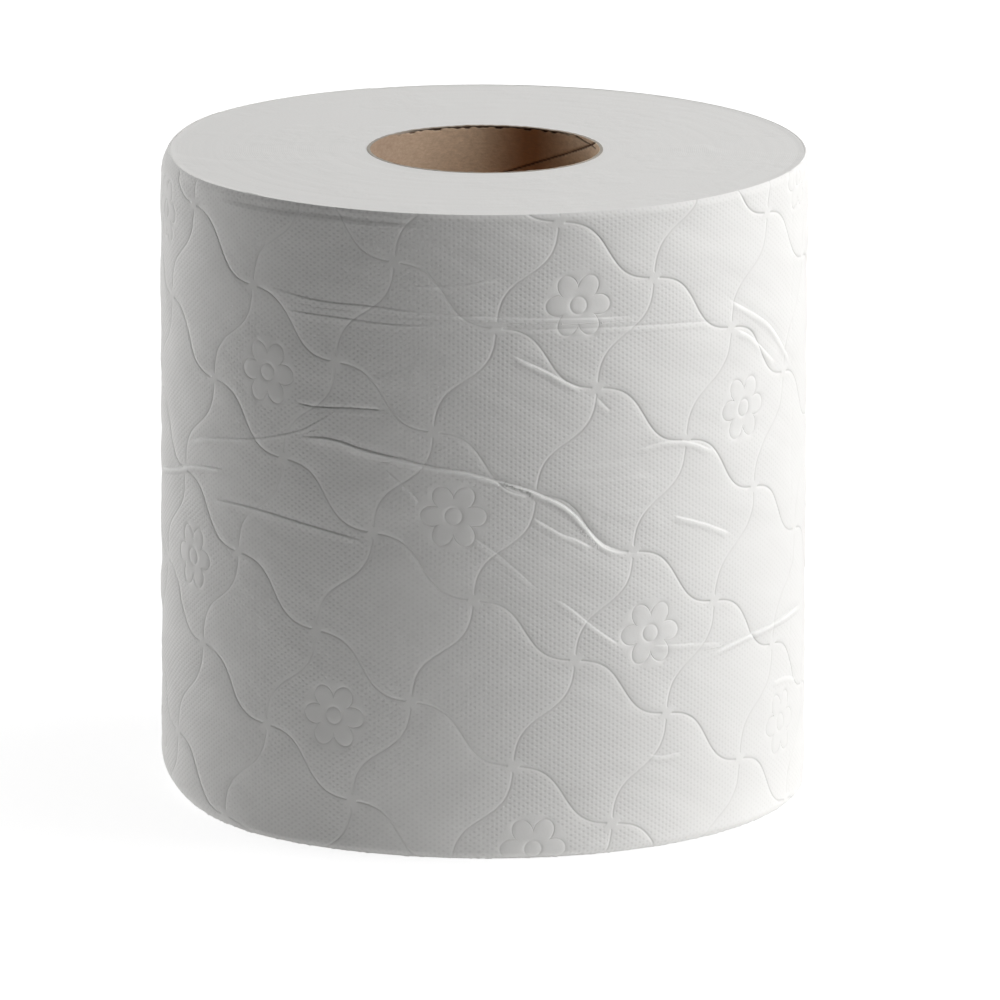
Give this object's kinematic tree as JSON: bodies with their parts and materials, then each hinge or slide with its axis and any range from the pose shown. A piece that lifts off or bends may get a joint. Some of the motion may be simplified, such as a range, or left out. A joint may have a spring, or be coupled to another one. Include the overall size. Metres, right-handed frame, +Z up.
{
  "type": "toilet paper roll",
  "caption": "Embossed white tissue sheet wound on a brown cardboard core tube, standing on its end, with an open bore through it.",
  "frame": {"origin": "on the roll's axis, in the plane that it stands on", "axes": "+Z up along the bore; the pictured side faces -Y, and the tail edge is at the back"},
  "size_m": [0.1137, 0.1135, 0.114],
  "materials": {
    "tissue_paper": "matt white tissue with a fine stippled emboss",
    "core_cardboard": "matt brown recycled board"
  },
  "bodies": {
    "root": {"paper_roll": "tissue_paper", "core_tube": "core_cardboard"}
  },
  "joints": []
}
